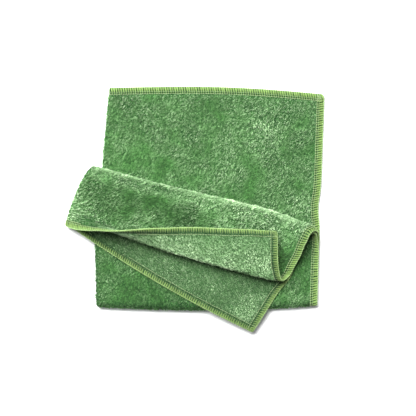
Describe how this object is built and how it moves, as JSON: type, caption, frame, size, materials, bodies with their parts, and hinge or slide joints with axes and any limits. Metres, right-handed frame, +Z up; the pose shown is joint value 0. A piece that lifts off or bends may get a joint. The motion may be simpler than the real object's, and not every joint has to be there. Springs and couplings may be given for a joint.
{
  "type": "folded microfibre cleaning cloth",
  "caption": "Soft square cleaning cloth with an edge-stitched border, doubled and folded back on itself, with its top corner rolled open.",
  "frame": {"origin": "middle of the bounding box in plan, on the surface that the cloth lies on", "axes": "+X to the viewer's right along the bottom fold, +Y away from the viewer towards the single panel, +Z up from the surface"},
  "size_m": [0.2439, 0.2316, 0.0387],
  "materials": {
    "cloth": "matt looped and brushed pile, green"
  },
  "bodies": {
    "root": {"cloth": "cloth"}
  },
  "joints": []
}
